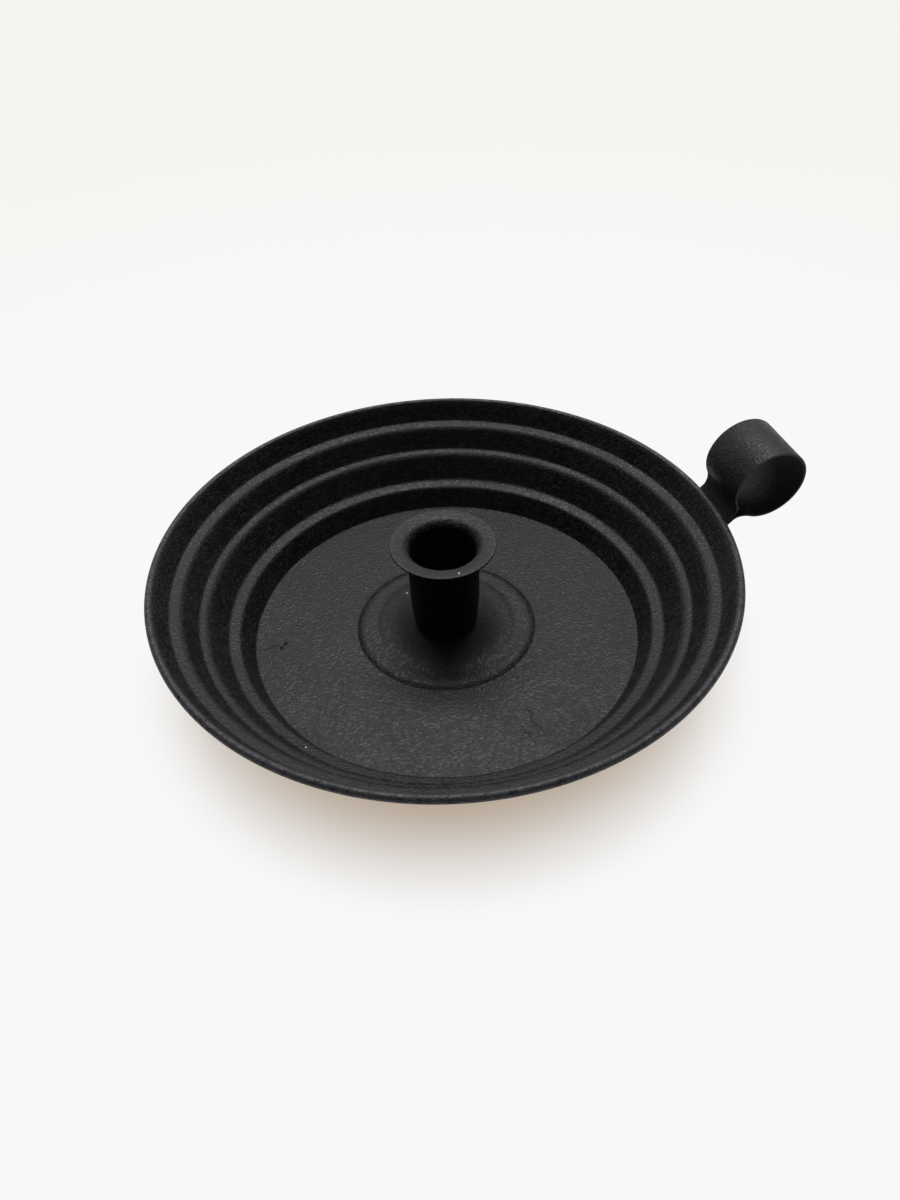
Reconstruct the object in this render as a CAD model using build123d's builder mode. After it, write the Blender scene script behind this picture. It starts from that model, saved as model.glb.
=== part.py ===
from build123d import *
from itertools import pairwise
from math import atan2, cos, degrees, radians, sin, tan
import os

# Chamberstick: a stepped dish, a candle socket riveted to its middle and a finger loop on its wall.
# Millimetres. The origin is the middle of the dish's underside, +Z is up and +X points at the loop.

# Dish wall, pressed from one sheet. Each step is a steep riser with a rounded shoulder.
rim_diameter = 195.0
dish_sheet = 0.7
low_step_run = 7.5
low_step_rise = 8.5
middle_step_run = 7.8
middle_step_rise = 9.9
high_step_run = 7.9
high_step_rise = 8.5
top_riser_length = 7.6
riser_angle = 62.0
tread_angle = 10.0

# Rolled bead at the rim, left open by a slit where the sheet comes back to the wall.
bead_radius = 1.35
bead_curl = 280.0

# Low boss in the middle of the floor, in two rounded steps.
crown_diameter = 48.8
crown_rise = 0.8
crown_shoulder = 3.7
boss_ledge = 3.7
boss_rise = 1.2
boss_shoulder = 3.7

# Candle socket, a drawn cup.
candle_diameter = 22.0
candle_clearance = 0.2
socket_sheet = 0.8
socket_height = 35.7
socket_foot_inset = 1.0
socket_foot_corner = 2.0
socket_taper_height = 12.6
lip_diameter = 35.5
lip_angle = 6.0
lip_bend_radius = 3.0
lip_edge_round_share = 0.375

# Rivet through the socket's floor and the boss.
rivet_diameter = 4.0
rivet_clearance = 0.1
rivet_head_diameter = 8.4
rivet_head_height = 1.5
rivet_tail_diameter = 7.6
rivet_tail_height = 1.2
rivet_tail_chamfer = 0.4

# Finger loop, bent from one strip with both ends laid together as a tab.
strip_sheet = 0.9
strip_seam = 0.2
loop_length = 26.0
loop_breadth = 24.0
loop_width = 22.0
neck_length = 4.8
neck_angle = 20.0
tab_width = 20.4
tab_end_margin = 1.6
tab_corner_radius = 5.0
wall_clearance = 0.1
trim_overrun = 5.0

quarter_turn = 90.0
half_turn = 180.0
smooth_turn_share = 0.001

# Levels that several pieces share, measured from the surface the dish stands on.
floor_top = dish_sheet
boss_top = floor_top + boss_rise
crown_top = boss_top + crown_rise
socket_floor_top = crown_top + socket_sheet
rivet_hole_radius = rivet_diameter / 2 + rivet_clearance


def along(angle, length):
    """Offset of a point that lies length away in the direction of angle."""
    return Vector(cos(radians(angle)) * length, sin(radians(angle)) * length)


def straight(start, end):
    """A flat stretch of sheet: its two ends, each with the direction the sheet runs in there."""
    angle = degrees(atan2(end.Y - start.Y, end.X - start.X))
    return start, angle, end, angle


def bend(start, angle, end):
    """A round stretch of sheet that leaves start in the direction of angle."""
    chord = degrees(atan2(end.Y - start.Y, end.X - start.X))
    return start, angle, end, 2 * chord - angle


def draw_stretch(start, angle, end, end_angle):
    """Draw one face of a stretch of sheet."""
    if angle == end_angle:
        Line(start, end)
    else:
        TangentArc(start, end, tangent=along(angle, 1))


def draw_sheet(stretches, thickness):
    """Draw the section of a sheet: one face follows the stretches and the other lies to their right."""
    last_end = None
    for start, angle, end, end_angle in stretches:
        far_start = start + along(angle - quarter_turn, thickness)
        far_end = end + along(end_angle - quarter_turn, thickness)
        draw_stretch(start, angle, end, end_angle)
        draw_stretch(far_start, angle, far_end, end_angle)
        if last_end is None:
            Line(start, far_start)
        elif (far_start - last_end).length > thickness * smooth_turn_share:
            TangentArc(last_end, far_start, tangent=along(last_angle, 1))
        last_end = far_end
        last_angle = end_angle
    Line(end, far_end)


def riser_length(step):
    """Straight length of a riser, below the shoulder that turns it into the tread of the same step."""
    turn = 1 - cos(radians(riser_angle - tread_angle))
    shoulder_radius = (step.X * sin(radians(riser_angle)) - step.Y * cos(radians(riser_angle))) / turn
    shoulder_run = shoulder_radius * (sin(radians(riser_angle)) - sin(radians(tread_angle)))
    return (step.X - shoulder_run) / cos(radians(riser_angle))


# The bead's outside is the rim. Below it come a straight riser, the three steps and the floor.
bead_side = along(riser_angle - quarter_turn, bead_radius)
top_riser = along(riser_angle, top_riser_length)
steps_run = low_step_run + middle_step_run + high_step_run
floor_radius = rim_diameter / 2 - bead_radius - bead_side.X - top_riser.X - steps_run

# Creases where one step ends and the next riser starts, on the dish's upper face.
floor_crease = Vector(floor_radius, floor_top)
low_crease = floor_crease + Vector(low_step_run, low_step_rise)
middle_crease = low_crease + Vector(middle_step_run, middle_step_rise)
high_crease = middle_crease + Vector(high_step_run, high_step_rise)
bead_start = high_crease + top_riser
bead_middle = bead_start + bead_side
bead_end_angle = riser_angle + quarter_turn - bead_curl

os.makedirs("parts", exist_ok=True)

# Dish: its upper face is one line from the rivet hole out to the bead, and the section is spun.
crown_edge = Vector(crown_diameter / 2 - crown_shoulder, crown_top)
crown_crease = Vector(crown_diameter / 2, boss_top)
boss_edge = crown_crease + Vector(boss_ledge, 0)
boss_crease = boss_edge + Vector(boss_shoulder, -boss_rise)
dish_face = [
    straight(Vector(rivet_hole_radius, crown_top), crown_edge),
    bend(crown_edge, 0, crown_crease),
    straight(crown_crease, boss_edge),
    bend(boss_edge, 0, boss_crease),
    straight(boss_crease, floor_crease),
]
for crease, next_crease in pairwise((floor_crease, low_crease, middle_crease, high_crease)):
    shoulder = crease + along(riser_angle, riser_length(next_crease - crease))
    dish_face.append((crease, riser_angle, shoulder, riser_angle))
    dish_face.append(bend(shoulder, riser_angle, next_crease))
dish_face.append((high_crease, riser_angle, bead_start, riser_angle))
dish_face.append(bend(bead_start, riser_angle, bead_middle + along(bead_end_angle, bead_radius)))

with BuildPart() as dish:
    with BuildSketch(Plane.XZ):
        with BuildLine():
            draw_sheet(dish_face, dish_sheet)
        make_face()
    revolve(axis=Axis.Z)

dish.part.label = "dish"
export_step(dish.part, "parts/dish.step")

# Candle socket: the inside of the cup is one line from the rivet hole to the lip, and the section is spun.
bore_radius = candle_diameter / 2 + candle_clearance
foot_inside = bore_radius - socket_foot_inset
corner_inside = socket_foot_corner - socket_sheet
lip_top = crown_top + socket_height
lip_bend = Vector(lip_bend_radius, 0) + along(quarter_turn + lip_angle, lip_bend_radius)
lip_rise = (lip_diameter / 2 - bore_radius - lip_bend.X) * tan(radians(lip_angle))
foot = Vector(foot_inside, socket_floor_top)
taper_end = Vector(bore_radius, crown_top + socket_taper_height)
taper_angle = straight(foot, taper_end)[1]
corner_length = corner_inside * tan(radians(taper_angle / 2))
corner_start = foot - Vector(corner_length, 0)
corner_end = foot + along(taper_angle, corner_length)
bore_end = Vector(bore_radius, lip_top - lip_rise - lip_bend.Y)
socket_face = [
    straight(Vector(rivet_hole_radius, socket_floor_top), corner_start),
    bend(corner_start, 0, corner_end),
    straight(corner_end, taper_end),
    straight(taper_end, bore_end),
    bend(bore_end, quarter_turn, bore_end + lip_bend),
    straight(bore_end + lip_bend, Vector(lip_diameter / 2, lip_top)),
]

with BuildPart() as candle_socket:
    with BuildSketch(Plane.XZ) as socket_section:
        with BuildLine():
            draw_sheet(socket_face, socket_sheet)
        make_face()
        lip_edge = socket_section.vertices().sort_by(Axis.X)[-2:]
        fillet(lip_edge, radius=socket_sheet * lip_edge_round_share)
    revolve(axis=Axis.Z)

candle_socket.part.label = "candle_socket"
export_step(candle_socket.part, "parts/candle_socket.step")

# Socket rivet: a domed head inside the cup, a shank through both sheets and a flat tail under the boss.
with BuildPart() as socket_rivet:
    with BuildSketch(Plane.XZ):
        with BuildLine():
            tail_top = crown_top - dish_sheet
            shank = rivet_diameter / 2
            head_edge = (rivet_head_diameter / 2, socket_floor_top)
            Polyline(
                (0, socket_floor_top + rivet_head_height),
                (0, tail_top - rivet_tail_height),
                (rivet_tail_diameter / 2, tail_top - rivet_tail_height),
                (rivet_tail_diameter / 2, tail_top),
                (shank, tail_top),
                (shank, socket_floor_top),
                head_edge,
            )
            TangentArc((0, socket_floor_top + rivet_head_height), head_edge, tangent=(1, 0))
        make_face()
    revolve(axis=Axis.Z)
    tail_rim = socket_rivet.edges().filter_by(GeomType.CIRCLE).sort_by(Axis.Z)[0]
    chamfer(tail_rim, length=rivet_tail_chamfer)

socket_rivet.part.label = "socket_rivet"
export_step(socket_rivet.part, "parts/socket_rivet.step")

# Finger loop: the tab lies along the outside of the two upper creases and passes under the bead.
wall_run = high_crease - middle_crease
tab_angle = degrees(atan2(wall_run.Y, wall_run.X))
tab_way = along(tab_angle, 1)
bead_inset = (bead_middle - high_crease).dot(along(tab_angle + quarter_turn, 1))
tab_offset = max(dish_sheet, bead_radius - bead_inset) + wall_clearance
seam_offset = tab_offset + strip_sheet + strip_seam / 2
bead_reach = (bead_middle - high_crease).dot(tab_way) + bead_radius
loop_reach = bead_reach + neck_length + loop_length / 2
ring_middle = high_crease + tab_way * loop_reach + along(tab_angle - quarter_turn, seam_offset)
tab_end = loop_reach + wall_run.length + tab_end_margin

# Planes through the ring's middle, with x along the tab: one across the strip and one in the tab's seam.
loop_plane = Plane((ring_middle.X, 0, ring_middle.Y), (tab_way.X, 0, tab_way.Y), (0, -1, 0))
seam_plane = Plane(loop_plane.origin, loop_plane.x_dir, loop_plane.y_dir)


def draw_strip_face(inset):
    """Draw one face of the strip: both layers of the tab, the two bends of the neck and the oval ring."""
    ring_length = loop_length / 2 - inset
    ring_breadth = loop_breadth / 2 - inset
    tab_face = strip_seam / 2 + strip_sheet - inset
    neck = Vector(-ring_length * cos(radians(neck_angle)), ring_breadth * sin(radians(neck_angle)))
    square = Vector(neck.X / ring_length**2, neck.Y / ring_breadth**2).normalized()
    neck_bend_radius = (neck.Y - tab_face) / (1 - square.Y)
    bend_start = neck.X + square.X * neck_bend_radius
    for side in (1, -1):
        Line((-tab_end, side * tab_face), (bend_start, side * tab_face))
        TangentArc((bend_start, side * tab_face), (neck.X, side * neck.Y), tangent=(1, 0))
    open_half = half_turn - neck_angle
    EllipticalCenterArc((0, 0), ring_length, ring_breadth, -open_half, arc_size=2 * open_half)
    return tab_face, neck.X


with BuildPart() as finger_loop:
    with BuildSketch(loop_plane):
        with BuildLine():
            outer_face, neck_place = draw_strip_face(0)
            inner_face, _ = draw_strip_face(strip_sheet)
            Line((-tab_end, outer_face), (-tab_end, inner_face))
            Line((-tab_end, -outer_face), (-tab_end, -inner_face))
        make_face()
    extrude(amount=loop_width / 2, both=True)
    # The tab is a little narrower than the ring, and its free end is rounded.
    with BuildSketch(seam_plane):
        tab_length = tab_end + neck_place
        with Locations((neck_place, 0)):
            Rectangle(tab_length + trim_overrun, loop_width + trim_overrun, align=(Align.MAX, Align.CENTER))
        with BuildSketch(mode=Mode.SUBTRACT) as tab_blank:
            with Locations((neck_place, 0)):
                Rectangle(tab_length, tab_width, align=(Align.MAX, Align.CENTER))
            fillet(tab_blank.vertices().group_by(Axis.X)[0], radius=tab_corner_radius)
    extrude(amount=loop_breadth / 2, both=True, mode=Mode.SUBTRACT)

finger_loop.part.label = "finger_loop"
export_step(finger_loop.part, "parts/finger_loop.step")
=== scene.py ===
import math

import bpy
from mathutils import Matrix, Vector


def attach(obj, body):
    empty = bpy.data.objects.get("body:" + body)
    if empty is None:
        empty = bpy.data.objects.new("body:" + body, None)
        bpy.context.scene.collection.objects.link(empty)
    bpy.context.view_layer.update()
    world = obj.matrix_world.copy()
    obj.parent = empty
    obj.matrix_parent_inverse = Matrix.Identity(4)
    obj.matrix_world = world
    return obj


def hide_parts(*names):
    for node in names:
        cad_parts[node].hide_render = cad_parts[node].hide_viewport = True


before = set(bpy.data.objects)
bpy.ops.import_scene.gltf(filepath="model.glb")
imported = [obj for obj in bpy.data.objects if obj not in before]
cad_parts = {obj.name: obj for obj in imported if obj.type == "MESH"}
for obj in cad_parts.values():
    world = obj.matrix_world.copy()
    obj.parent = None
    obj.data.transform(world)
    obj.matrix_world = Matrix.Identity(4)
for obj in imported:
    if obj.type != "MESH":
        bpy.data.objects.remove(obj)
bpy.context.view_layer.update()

# Dish. One round blank of steel sheet, pressed into a flat floor with a low two-step boss and a wall of three
# rounded steps, its rim rolled outwards into a small bead. It stands on its floor, and everything else is
# fastened to it. The press leaves the floor a little wavy, and a baked matt black coat covers both sides.
mm = 0.001
dish_sheet = 0.7
dish_face = [
    (2.1, 2.7, 0),
    (22.2, 2.7, 10.0),
    (24.7, 1.9, 5.0),
    (30.14, 1.9, 5.0),
    (31.8, 0.7, 1.0),
    (67.8, 0.7, 0.9),
    (71.6, 8.48, 1.9),
    (75.69, 9.2, 1.8),
    (80.69, 18.61, 3.4),
    (83.49, 19.1, 1.3),
    (87.66, 26.94, 2.9),
    (91.39, 27.6, 1.1),
    (94.96, 34.31, 0),
]
bead_radius = 1.35
bead_turn = math.radians(280)
dish_facets = 288
floor_waves = 0.16
waves_from = 33
waves_to = 66


def sheet_outline(name, face, sheet, curl=None, round_end=False):
    """Outline of a bent sheet's section, from (x, z, bend radius) corners along its upper or inner face."""
    longest_run = 3.0
    turn_step = math.radians(9)
    nose_steps = 8
    corners = [Vector(corner[:2]) for corner in face]
    ways = [(after - before).normalized() for before, after in zip(corners, corners[1:])]
    angles = [math.atan2(way.y, way.x) for way in ways]
    line = [(corners[0], angles[0])]

    def run_to(point, angle):
        start = line[-1][0]
        count = math.ceil((point - start).length / longest_run)
        line.extend((start.lerp(point, step / count), angle) for step in range(1, count + 1))

    def turn_by(angle, turn, radius):
        side = math.copysign(math.pi / 2, turn)
        start = line[-1][0]
        middle = start + Vector((math.cos(angle + side), math.sin(angle + side))) * radius
        count = math.ceil(abs(turn) / turn_step)
        for step in range(1, count + 1):
            way = angle + turn * step / count
            line.append((middle - Vector((math.cos(way + side), math.sin(way + side))) * radius, way))

    for number, corner in enumerate(face[1:-1]):
        radius = corner[2]
        turn = angles[number + 1] - angles[number]
        cut = radius * math.tan(abs(turn) / 2)
        run_to(corners[number + 1] - ways[number] * cut, angles[number])
        turn_by(angles[number], turn, radius)
    run_to(corners[-1], angles[-1])
    if curl:
        radius, turn = curl
        turn_by(angles[-1], -turn, radius)

    upper = [point for point, way in line]
    lower = [point + Vector((math.sin(way), -math.cos(way))) * sheet for point, way in line]
    nose = []
    if round_end:
        middle = (upper[-1] + lower[-1]) / 2
        arm = upper[-1] - middle
        turns = [-math.pi * step / nose_steps for step in range(1, nose_steps)]
        nose = [middle + Matrix.Rotation(turn, 2) @ arm for turn in turns]
    points = upper + nose + lower[::-1]
    outline = bpy.data.meshes.new(name)
    edges = [(number, (number + 1) % len(points)) for number in range(len(points))]
    outline.from_pydata([(point.x * mm, point.y * mm, 0) for point in points], edges, [])
    return outline


class Wire:
    """A socket in a node tree. Sums on wires add Math nodes, and add() puts in any other node."""

    def __init__(self, tree, socket=None):
        self.tree = tree
        self.socket = socket

    def add(self, kind, settings, values, output=0):
        node = self.tree.nodes.new(kind)
        for name, setting in settings.items():
            setattr(node, name, setting)
        for name, value in values.items():
            if isinstance(value, Wire):
                self.tree.links.new(value.socket, node.inputs[name])
            else:
                node.inputs[name].default_value = value
        return Wire(self.tree, node.outputs[output]) if node.outputs else None

    def out(self, name):
        return Wire(self.tree, self.socket.node.outputs[name])

    def math(self, operation, first, second):
        return self.add("ShaderNodeMath", {"operation": operation}, {0: first, 1: second})

    def vector(self, operation, first, second, output="Vector"):
        return self.add("ShaderNodeVectorMath", {"operation": operation}, {0: first, 1: second}, output)

    def fade(self, low, high):
        """0 where this wire is at low, 1 where it is at high, and smooth between them."""
        settings = {"interpolation_type": "SMOOTHSTEP"}
        return self.add("ShaderNodeMapRange", settings, {"Value": self, "From Min": low, "From Max": high})

    def blend(self, below, above):
        """The colour below where this wire is 0, above where it is 1. Mix has its colours at 6, 7 and 2."""
        values = {0: self, 6: below, 7: above}
        return self.add("ShaderNodeMix", {"data_type": "RGBA", "clamp_factor": True}, values, 2)

    def __add__(self, other):
        return self.math("ADD", self, other)

    def __radd__(self, other):
        return self.math("ADD", other, self)

    def __sub__(self, other):
        return self.math("SUBTRACT", self, other)

    def __rsub__(self, other):
        return self.math("SUBTRACT", other, self)

    def __mul__(self, other):
        return self.math("MULTIPLY", self, other)

    def __rmul__(self, other):
        return self.math("MULTIPLY", other, self)

    def __truediv__(self, other):
        return self.math("DIVIDE", self, other)

    def __pow__(self, other):
        return self.math("POWER", self, other)


def length_of(first, second):
    """Length of a flat step with these two parts, such as the distance from the upright axis."""
    return (first * first + second * second) ** 0.5


def shape_tree(name, inputs):
    """An empty shape tree with a Geometry input, more named inputs and a Geometry output."""
    tree = bpy.data.node_groups.new(name, "GeometryNodeTree")
    tree.interface.new_socket("Geometry", in_out="INPUT", socket_type="NodeSocketGeometry")
    for label, kind in inputs.items():
        tree.interface.new_socket(label, in_out="INPUT", socket_type=kind)
    tree.interface.new_socket("Geometry", in_out="OUTPUT", socket_type="NodeSocketGeometry")
    return Wire(tree).add("NodeGroupInput", {}, {})


def close_tree(mesh, material):
    """The end of every shape tree: smooth faces with sharp edges kept, realized, and given their material."""
    sharp_turn = math.radians(40)
    turn = mesh.add("GeometryNodeInputMeshEdgeAngle", {}, {})
    smooth = mesh.add("GeometryNodeSetShadeSmooth", {"domain": "FACE"}, {0: mesh, "Shade Smooth": True})
    sharp = turn.math("GREATER_THAN", turn, sharp_turn)
    values = {0: smooth, "Selection": sharp, "Shade Smooth": False}
    edged = mesh.add("GeometryNodeSetShadeSmooth", {"domain": "EDGE"}, values)
    real = mesh.add("GeometryNodeRealizeInstances", {}, {0: edged})
    coated = mesh.add("GeometryNodeSetMaterial", {}, {0: real, "Material": material})
    mesh.add("NodeGroupOutput", {}, {0: coated})


def spun_sheet_tree():
    """A section spun round the upright axis. Its floor may rise in slow waves between two radii."""
    start = shape_tree("spun sheet", {
        "Facets": "NodeSocketInt",
        "Waves": "NodeSocketFloat",
        "Waves from": "NodeSocketFloat",
        "Waves to": "NodeSocketFloat",
        "Material": "NodeSocketMaterial",
    })
    guide_radius = 100 * mm
    wave_noise = {"Scale": 38, "Detail": 1.0}
    fade_width = 6 * mm
    merge_within = 0.01 * mm
    section = start.add("GeometryNodeMeshToCurve", {}, {"Mesh": start.out("Geometry")})
    values = {"Geometry": section, "Translation": (-guide_radius, 0, 0), "Scale": (1, -1, 1)}
    section = start.add("GeometryNodeTransform", {}, values)
    values = {"Resolution": start.out("Facets"), "Radius": guide_radius}
    guide = start.add("GeometryNodeCurvePrimitiveCircle", {}, values)
    spun = start.add("GeometryNodeCurveToMesh", {}, {"Curve": guide, "Profile Curve": section})
    place = start.add("GeometryNodeInputPosition", {}, {})
    parts = start.add("ShaderNodeSeparateXYZ", {}, {0: place})
    radius = length_of(parts.out("X"), parts.out("Y"))
    inner = start.out("Waves from")
    outer = start.out("Waves to")
    on_floor = radius.fade(inner, inner + fade_width) * radius.fade(outer, outer - fade_width)
    flat_place = start.add("ShaderNodeCombineXYZ", {}, {"X": parts.out("X"), "Y": parts.out("Y")})
    values = {"Vector": flat_place, **wave_noise}
    waves = start.add("ShaderNodeTexNoise", {"noise_dimensions": "3D"}, values)
    lift = start.add("ShaderNodeCombineXYZ", {}, {"Z": waves * on_floor * start.out("Waves")})
    wavy = start.add("GeometryNodeSetPosition", {}, {"Geometry": spun, "Offset": lift})
    closed = start.add("GeometryNodeMergeByDistance", {}, {"Geometry": wavy, "Distance": merge_within})
    close_tree(closed, start.out("Material"))
    return start.tree


def run_tree(name, outline, tree, sizes):
    """A piece made by running a shape tree on an outline, kept as a plain mesh."""
    piece = bpy.data.objects.new(name, outline)
    bpy.context.scene.collection.objects.link(piece)
    modifier = piece.modifiers.new("shape", "NODES")
    modifier.node_group = tree
    for item in tree.interface.items_tree:
        if item.in_out == "INPUT" and item.name in sizes:
            modifier[item.identifier] = sizes[item.name]
    finished = piece.evaluated_get(bpy.context.evaluated_depsgraph_get())
    mesh = bpy.data.meshes.new_from_object(finished)
    piece.modifiers.remove(modifier)
    piece.data = mesh
    return piece


def black_coat(name, rubbed_places, dry_places=None, specks=(), dings=(), scratches=()):
    """Baked matt black coat with a sandy grain, rubbed thinner and sprayed drier where the two masks say."""
    coat_black = (0.0034, 0.0032, 0.0036, 1)
    coat_dusty = (0.0062, 0.0059, 0.0065, 1)
    coat_fleck = (0.018, 0.0171, 0.0189, 1)
    coat_rubbed = (0.036, 0.0345, 0.0375, 1)
    speck_white = (0.75, 0.74, 0.71, 1)
    sheen_tint = (1.0, 0.955, 1.035, 1)
    sheen_level = 0.34
    coat_relief = 0.2 * mm
    peel_height = 0.5
    grain_depth = 0.65
    mark_depth = 0.4
    coat_roughness = 0.40
    cloud_roughness = 0.06
    grain_roughness = 0.23
    rubbed_polish = 0.08
    mark_roughness = 0.18
    dry_roughness = 0.33
    cloud_noise = {"Scale": 45, "Detail": 4.0}
    cloud_span = (0.3, 0.7)
    peel_noise = {"Scale": 260, "Detail": 2.0}
    patch_noise = {"Scale": 500, "Detail": 3.0}
    patch_span = (0.25, 0.55)
    grain_scale = 1050
    fleck_span = (0.5, 1.0)
    speck_size = 0.4 * mm
    ding_size = 1.05 * mm
    ding_weight = 2.2
    spot_core = 0.4
    scratch_size = 0.45 * mm
    scratch_weight = 0.8
    scratch_core = 0.3
    shake_middle = (0.5, 0.5, 0.5)
    shake_reach = (3 * mm, 3 * mm, 0)
    material = bpy.data.materials.new(name)
    material.use_nodes = True
    tree = material.node_tree
    tree.nodes.clear()
    place = Wire(tree).add("ShaderNodeTexCoord", {}, {}, "Object")
    parts = place.add("ShaderNodeSeparateXYZ", {}, {0: place})
    spot = [parts.out(axis) for axis in "XYZ"]

    def noise(values):
        return place.add("ShaderNodeTexNoise", {}, {"Vector": place, **values})

    def near_point(point, size):
        distance = place.vector("DISTANCE", place, Vector(point) * mm, "Value")
        return distance.fade(size, size * spot_core)

    def near_line(start, end, size):
        run = end - start
        ahead = place.vector("SUBTRACT", shaken, start)
        share = place.vector("DOT_PRODUCT", ahead, run / run.length_squared, "Value")
        share = place.add("ShaderNodeClamp", {}, {"Value": share})
        step = place.add("ShaderNodeVectorMath", {"operation": "SCALE"}, {0: run, "Scale": share})
        distance = place.vector("DISTANCE", shaken, place.vector("ADD", step, start), "Value")
        return distance.fade(size, size * scratch_core)

    cloud = noise(cloud_noise).fade(*cloud_span)
    peel = noise(peel_noise)
    patches = noise(patch_noise).fade(*patch_span)
    grains = place.add("ShaderNodeTexVoronoi", {}, {"Vector": place, "Scale": grain_scale}, "Distance")
    grain = place.add("ShaderNodeSeparateXYZ", {}, {0: grains.out("Color")})
    rubbed = rubbed_places(*spot) * patches
    colour = cloud.blend(coat_black, coat_dusty)
    colour = grain.fade(*fleck_span).blend(colour, coat_fleck)
    colour = rubbed.blend(colour, coat_rubbed)
    for speck in specks:
        colour = near_point(speck, speck_size).blend(colour, speck_white)
    height = peel_height * peel - grain_depth * grains
    roughness = coat_roughness + cloud_roughness * cloud + grain_roughness * grain - rubbed_polish * rubbed
    if dings or scratches:
        shake = place.vector("SUBTRACT", peel.out("Color"), shake_middle)
        shaken = place.vector("ADD", place, place.vector("MULTIPLY", shake, shake_reach))
        lines = sum([near_line(*ends, scratch_size) for ends in scratches])
        marks = sum([ding_weight * near_point(ding, ding_size) for ding in dings])
        marks = marks + scratch_weight * patches * lines
        height = height - mark_depth * marks
        roughness = roughness + mark_roughness * marks
    if dry_places:
        roughness = roughness + dry_roughness * dry_places(*spot)
    normal = place.add("ShaderNodeBump", {}, {"Strength": 1.0, "Distance": coat_relief, "Height": height})
    coat = place.add("ShaderNodeBsdfPrincipled", {}, {
        "Base Color": colour,
        "Roughness": roughness,
        "Specular IOR Level": sheen_level,
        "Specular Tint": sheen_tint,
        "Normal": normal,
    })
    place.add("ShaderNodeOutputMaterial", {}, {"Surface": coat})
    return material


def rubbed_rim(x, y, z):
    """Top and outside of the bead, where hands and shelves rub it."""
    bead_side = (93.5 * mm, 96.2 * mm)
    bead_top = (31.5 * mm, 34.5 * mm)
    return length_of(x, y).fade(*bead_side) * z.fade(*bead_top)


def dry_foot(x, y, z):
    """Ring round the socket's foot, where the socket stood in the way of the spray."""
    foot_ring = (25.5 * mm, 13.0 * mm)
    return length_of(x, y).fade(*foot_ring)


def floor_line(*points):
    """The stretches of a fine line in the floor's coat, from the (x, y) of its points."""
    spots = [Vector((x, y, dish_sheet)) * mm for x, y in points]
    return list(zip(spots, spots[1:]))


floor_crack = floor_line(
    (15.6, -44.3), (16.4, -48.0), (15.9, -49.6), (16.5, -52.3), (17.9, -54.1), (18.0, -56.9)
)
floor_blister = floor_line((10.4, -56.2), (11.0, -54.8), (12.3, -54.4), (13.3, -55.1), (13.7, -56.6))
floor_scratch = floor_line((-67.1, 4.8), (-59.6, 5.1))
scratch_deep_end = floor_line((-63.7, 4.8), (-59.6, 5.1))
dish_coat = black_coat(
    "black coat on the dish",
    rubbed_rim,
    dry_foot,
    specks=[(-10.6, 17.4, 2.7), (-55.9, -47.8, 9.0)],
    dings=[(-58.7, 4.0, 0.7), (-57.2, 5.7, 0.7)],
    scratches=floor_crack + floor_blister + floor_scratch + scratch_deep_end,
)
dish_outline = sheet_outline("dish section", dish_face, dish_sheet, curl=(bead_radius, bead_turn))
spun_sheet = spun_sheet_tree()
dish = run_tree("pressed_dish", dish_outline, spun_sheet, {
    "Facets": dish_facets,
    "Waves": floor_waves * mm,
    "Waves from": waves_from * mm,
    "Waves to": waves_to * mm,
    "Material": dish_coat,
})
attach(dish, "root")
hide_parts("dish")

# Candle socket. A cup drawn from thicker sheet, its foot a little tapered so that a candle wedges in, its
# mouth turned out into a flared lip that catches drips. It stands on the boss and is held there by the rivet.
socket_sheet = 0.8
socket_face = [
    (2.1, 3.5, 0),
    (10.2, 3.5, 1.2),
    (11.2, 15.3, 30),
    (11.2, 37.71, 3.4),
    (17.35, 38.35, 0),
]
socket_facets = 160
lip_speck = (1.4, -15.8, 38.2)


def rubbed_lip(x, y, z):
    """Outer edge of the lip, lightly rubbed by candles and fingers."""
    lip_edge = (16.2 * mm, 17.4 * mm)
    lip_top = (36 * mm, 37 * mm)
    lip_wear = 0.5
    return lip_wear * length_of(x, y).fade(*lip_edge) * z.fade(*lip_top)


socket_outline = sheet_outline("socket section", socket_face, socket_sheet, round_end=True)
socket = run_tree("drawn_socket", socket_outline, spun_sheet, {
    "Facets": socket_facets,
    "Material": black_coat("black coat on the socket", rubbed_lip, specks=[lip_speck]),
})
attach(socket, "root")
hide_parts("candle_socket")

# Rivet. A soft steel rivet with a domed head inside the cup and a flat tail pressed over under the boss,
# coated together with the rest after it was set.
head_radius = 4.2
head_height = 1.5
head_seat = 3.5
shank_radius = 2.0
tail_seat = 2.0
tail_face = [(3.6, tail_seat), (3.8, 1.8), (3.8, 1.1), (3.5, 0.8), (0, 0.8)]
rivet_facets = 64
quarter_turn = [math.radians(turn) for turn in range(0, 91, 10)]
head_face = [
    (head_radius * math.sin(turn), head_seat + head_height * math.cos(turn)) for turn in quarter_turn
]
rivet_points = head_face + [(shank_radius, head_seat), (shank_radius, tail_seat)] + tail_face
rivet_edges = [(number, number + 1) for number in range(len(rivet_points) - 1)]
rivet_outline = bpy.data.meshes.new("rivet section")
rivet_outline.from_pydata([(x * mm, z * mm, 0) for x, z in rivet_points], rivet_edges, [])


def rubbed_head(x, y, z):
    """Top of the dome, rubbed by candle ends."""
    head_top = (4.5 * mm, 5.0 * mm)
    return z.fade(*head_top)


rivet = run_tree("set_rivet", rivet_outline, spun_sheet, {
    "Facets": rivet_facets,
    "Material": black_coat("black coat on the rivet", rubbed_head),
})
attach(rivet, "root")
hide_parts("socket_rivet")

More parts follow.
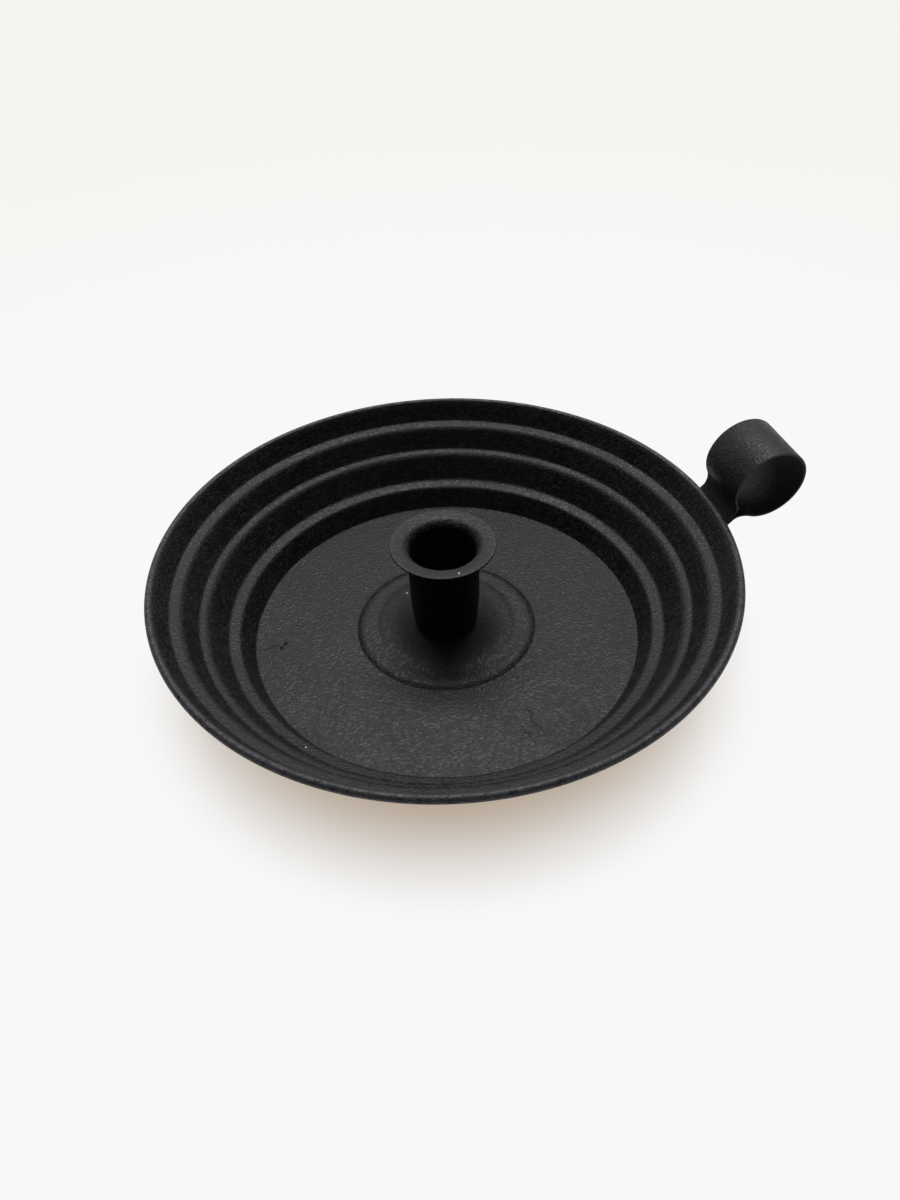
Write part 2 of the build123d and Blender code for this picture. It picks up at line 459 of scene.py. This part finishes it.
# Finger loop. One strip of sheet bent round into an oval ring, its two ends pinched together into a flat tab
# that lies under the rim and is spot-welded to the outside of the wall. Its cut edges are broken.
strip_sheet = 0.9
strip_width = 22.0
strip_edge = 0.12
ring_middle = Vector((110.98, 0, 46.04))
ring_length = 12.55
ring_breadth = 11.55
neck_turn = math.radians(20)
tab_rise = math.radians(47.095)
tab_way = Vector((math.cos(tab_rise), 0, math.sin(tab_rise)))
tab_side = Vector((-tab_way.z, 0, tab_way.x))
tab_layer = 0.55
tab_end = 40.05
tab_half_width = 10.2
tab_corner = 5.0


def strip_path():
    """Middle line of half the strip in the ring's own plane, with half widths: tab, neck and half ring."""
    tab_steps = 8
    bend_steps = 12
    ring_steps = 40
    neck = Vector((-ring_length * math.cos(neck_turn), ring_breadth * math.sin(neck_turn)))
    square = Vector((neck.x / ring_length**2, neck.y / ring_breadth**2)).normalized()
    bend = (neck.y - tab_layer) / (1 - square.y)
    bend_start = neck.x + square.x * bend
    bend_turn = math.acos(square.y)
    half = strip_width / 2
    path = []
    for turn in quarter_turn:
        away = tab_corner * (1 - math.cos(turn))
        side = tab_half_width - tab_corner * (1 - math.sin(turn))
        path.append((-tab_end + away, tab_layer, side))
    tab_start = -tab_end + tab_corner
    for step in range(1, tab_steps):
        path.append((tab_start + (bend_start - tab_start) * step / tab_steps, tab_layer, tab_half_width))
    for step in range(bend_steps):
        share = step / bend_steps
        turn = bend_turn * share
        side = tab_half_width + (half - tab_half_width) * share * share * (3 - 2 * share)
        path.append((bend_start + bend * math.sin(turn), tab_layer + bend * (1 - math.cos(turn)), side))
    for step in range(ring_steps + 1):
        turn = (math.pi - neck_turn) * (1 - step / ring_steps)
        path.append((ring_length * math.cos(turn), ring_breadth * math.sin(turn), half))
    return path


half_path = strip_path()
loop_path = half_path + [(along, -across, half) for along, across, half in half_path[-2::-1]]
loop_points = [ring_middle + tab_way * along + tab_side * across for along, across, half in loop_path]
loop_edges = [(number, number + 1) for number in range(len(loop_points) - 1)]
loop_line = bpy.data.meshes.new("loop line")
loop_line.from_pydata([point * mm for point in loop_points], loop_edges, [])
half_widths = loop_line.attributes.new("half_width", "FLOAT", "POINT")
half_widths.data.foreach_set("value", [half * mm for along, across, half in loop_path])


def bent_strip_tree():
    """A flat strip with broken edges laid along a line, as wide at each point as the line says there."""
    start = shape_tree("bent strip", {
        "Strip sheet": "NodeSocketFloat",
        "Strip width": "NodeSocketFloat",
        "Edge radius": "NodeSocketFloat",
        "Material": "NodeSocketMaterial",
    })
    edge_steps = 4
    line = start.add("GeometryNodeMeshToCurve", {}, {"Mesh": start.out("Geometry")})
    line = start.add("GeometryNodeSetCurveNormal", {"mode": "FREE"}, {"Curve": line, "Normal": (0, 1, 0)})
    values = {"Width": start.out("Strip width"), "Height": start.out("Strip sheet")}
    blank = start.add("GeometryNodeCurvePrimitiveQuadrilateral", {}, values)
    values = {"Curve": blank, "Radius": start.out("Edge radius"), "Count": edge_steps, "Limit Radius": True}
    blank = start.add("GeometryNodeFilletCurve", {"mode": "POLY"}, values)
    values = {"Curve": line, "Profile Curve": blank, "Fill Caps": True}
    strip = start.add("GeometryNodeCurveToMesh", {}, values)
    half = start.add("GeometryNodeInputNamedAttribute", {"data_type": "FLOAT"}, {"Name": "half_width"})
    narrowing = half * 2 / start.out("Strip width")
    place = start.add("GeometryNodeInputPosition", {}, {})
    scale = start.add("ShaderNodeCombineXYZ", {}, {"X": 1, "Y": narrowing, "Z": 1})
    fitted = start.vector("MULTIPLY", place, scale)
    strip = start.add("GeometryNodeSetPosition", {}, {"Geometry": strip, "Position": fitted})
    close_tree(strip, start.out("Material"))
    return start.tree


def rubbed_strip_edges(x, y, z):
    """Both cut edges of the upper half of the ring, rubbed by the finger."""
    edge_from = 10.5 * mm
    edge_to = 10.9 * mm
    ring_top = (46 * mm, 56 * mm)
    edge_wear = 0.6
    return edge_wear * (y * y).fade(edge_from**2, edge_to**2) * z.fade(*ring_top)


def dry_inside_and_neck(x, y, z):
    """Inside of the ring and its pinched neck, which the spray hardly reached."""
    inside_shares = (1.01, 0.985)
    inside_dryness = 0.9
    neck_shares = (-0.88, -1.05)
    beside = x - ring_middle.x * mm
    above = z - ring_middle.z * mm
    along = (beside * tab_way.x + above * tab_way.z) / (ring_length * mm)
    across = (beside * tab_side.x + above * tab_side.z) / (ring_breadth * mm)
    return inside_dryness * length_of(along, across).fade(*inside_shares) + along.fade(*neck_shares)


loop = run_tree("bent_finger_loop", loop_line, bent_strip_tree(), {
    "Strip sheet": strip_sheet * mm,
    "Strip width": strip_width * mm,
    "Edge radius": strip_edge * mm,
    "Material": black_coat("black coat on the finger loop", rubbed_strip_edges, dry_inside_and_neck),
})
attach(loop, "root")
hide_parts("finger_loop")

# Table. A plain pale surface that the dish stands on, not part of the object. It glows evenly to the camera,
# and only round the dish does it give way to a lit surface that keeps a soft warm shadow.
table_radius = 6
table_drop = 0.1 * mm
table_near = (0.939, 0.939, 0.939, 1)
table_far = (0.911, 0.903, 0.871, 1)
table_lit = (0.70, 0.82, 0.94, 1)
far_span = (0.2, 0.7)
shadow_span = (0.115, 0.071)
shadow_depth = 0.7
table_turns = [math.radians(turn) for turn in range(0, 360, 5)]
table_rim = [
    (table_radius * math.cos(turn), table_radius * math.sin(turn), -table_drop) for turn in table_turns
]
table_mesh = bpy.data.meshes.new("table")
table_mesh.from_pydata(table_rim, [], [range(len(table_rim))])
table = bpy.data.objects.new("table", table_mesh)
bpy.context.scene.collection.objects.link(table)
table_coat = bpy.data.materials.new("pale table")
table_coat.use_nodes = True
table_coat.node_tree.nodes.clear()
rays = Wire(table_coat.node_tree).add("ShaderNodeLightPath", {}, {}, "Is Camera Ray")
seen = rays.math("MAXIMUM", rays, rays.out("Is Glossy Ray"))
seen = rays.math("MAXIMUM", seen, rays.out("Is Transmission Ray"))
place = rays.add("ShaderNodeTexCoord", {}, {}, "Object")
distance = rays.add("ShaderNodeVectorMath", {"operation": "LENGTH"}, {0: place}, "Value")
pale = distance.fade(*far_span).blend(table_near, table_far)
shadow = shadow_depth * distance.fade(*shadow_span)
taken = rays.add("ShaderNodeVectorMath", {"operation": "SCALE"}, {0: table_lit[:3], "Scale": shadow})
left = rays.vector("SUBTRACT", pale, taken)
values = {0: left, "Scale": (1 - shadow) ** -1}
glow_colour = rays.add("ShaderNodeVectorMath", {"operation": "SCALE"}, values)
lit = rays.add("ShaderNodeBsdfDiffuse", {}, {"Color": table_lit})
glow = rays.add("ShaderNodeEmission", {}, {"Color": glow_colour})
top = rays.add("ShaderNodeMixShader", {}, {0: seen * (1 - shadow), 1: lit, 2: glow})
rays.add("ShaderNodeOutputMaterial", {}, {"Surface": top})
table_mesh.materials.append(table_coat)

# Light. A wide window high up behind the dish, a soft ceiling above it and a pale wall behind the table. The
# room on the camera's side is dim.
look_turn = math.radians(12.7)
look = Vector((math.sin(look_turn), math.cos(look_turn), 0))
window_height = math.radians(64)
window_distance = 3.0
window_level = 0.86
window = bpy.data.lights.new("window", "AREA")
window.shape = "RECTANGLE"
window.size = 2.8
window.size_y = 1.2
window.energy = window_level * math.pi**2 * window_distance**2 / math.sin(window_height)
window_object = bpy.data.objects.new("window", window)
bpy.context.scene.collection.objects.link(window_object)
window_way = look * math.cos(window_height) + Vector((0, 0, math.sin(window_height)))
window_object.location = window_way * window_distance
window_object.rotation_euler = (-window_way).to_track_quat("-Z", "Y").to_euler()
ceiling_distance = 2.5
ceiling_level = 0.4
ceiling = bpy.data.lights.new("ceiling", "AREA")
ceiling.shape = "DISK"
ceiling.size = 8.0
ceiling.energy = ceiling_level * math.pi**2 * ceiling_distance**2
ceiling_object = bpy.data.objects.new("ceiling", ceiling)
bpy.context.scene.collection.objects.link(ceiling_object)
ceiling_object.location = (0, 0, ceiling_distance)
wall_width = (0.3, 0.8)
wall_height = (0.5, 0.35)
dim_room = 0.02
room = bpy.data.worlds.new("room")
bpy.context.scene.world = room
room.use_nodes = True
room.node_tree.nodes.clear()
rays = Wire(room.node_tree).add("ShaderNodeLightPath", {}, {}, "Is Camera Ray")
way = rays.add("ShaderNodeTexCoord", {}, {}, "Generated")
behind = rays.vector("DOT_PRODUCT", way, look, "Value")
up = rays.add("ShaderNodeSeparateXYZ", {}, {0: way}).out("Z")
pale_wall = behind.fade(*wall_width) * up.fade(*wall_height)
level = rays + (1 - rays) * (pale_wall + dim_room)
air = rays.add("ShaderNodeBackground", {}, {"Color": table_far, "Strength": level})
rays.add("ShaderNodeOutputWorld", {}, {"Surface": air})

# Camera. Close above the table and looking down at the dish, at the photograph's angle and with its small
# tilt to one side.
camera = bpy.data.cameras.new("camera")
camera.sensor_width = 36
camera.lens = 26.5576
camera.clip_start = 0.01
camera_object = bpy.data.objects.new("camera", camera)
bpy.context.scene.collection.objects.link(camera_object)
camera_place = Vector((-0.04795, -0.21957, 0.22608))
camera_aim = Vector((0.00444, 0.01215, 0))
camera_roll = math.radians(-2.2576)
camera_turn = (camera_aim - camera_place).to_track_quat("-Z", "Y").to_matrix().to_4x4()
camera_object.matrix_world = (
    Matrix.Translation(camera_place) @ camera_turn @ Matrix.Rotation(camera_roll, 4, "Z")
)
bpy.context.scene.camera = camera_object
bpy.context.scene.view_settings.view_transform = "Standard"
